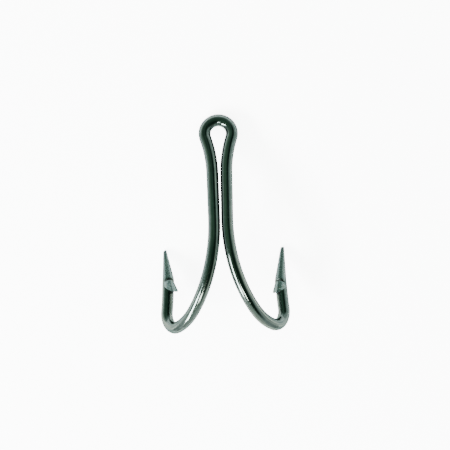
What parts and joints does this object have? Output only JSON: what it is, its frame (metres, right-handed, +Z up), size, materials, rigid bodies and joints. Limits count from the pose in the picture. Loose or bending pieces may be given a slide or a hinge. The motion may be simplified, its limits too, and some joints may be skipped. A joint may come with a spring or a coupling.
{
  "type": "double fish hook",
  "caption": "Open-shank fish hook bent from one length of round plated wire, with an eye at the fold and a barbed point on each side.",
  "frame": {"origin": "centre of the eye, in the middle of the wire's thickness", "axes": "the hook lies as on a table, resting on the eye and on both tips: +Z up, +Y from the bends out past the eye, +X towards the right hook"},
  "size_m": [0.037, 0.0607, 0.0203],
  "materials": {
    "plated_wire": "bright green-black plate over drawn steel wire, smooth and glossy",
    "cut_metal": "the same plate over sheared metal, a little rougher"
  },
  "bodies": {
    "root": {"eye": "plated_wire", "left_neck": "plated_wire", "left_shank": "plated_wire", "left_flare": "plated_wire", "left_upper_bend": "plated_wire", "left_lower_bend": "plated_wire", "left_front_leg": "plated_wire", "left_barb_seat": "plated_wire", "left_point": "plated_wire", "right_neck": "plated_wire", "right_shank": "plated_wire", "right_flare": "plated_wire", "right_upper_bend": "plated_wire", "right_lower_bend": "plated_wire", "right_front_leg": "plated_wire", "right_barb_seat": "plated_wire", "right_point": "plated_wire", "left_barb": "cut_metal", "right_barb": "cut_metal"}
  },
  "joints": []
}
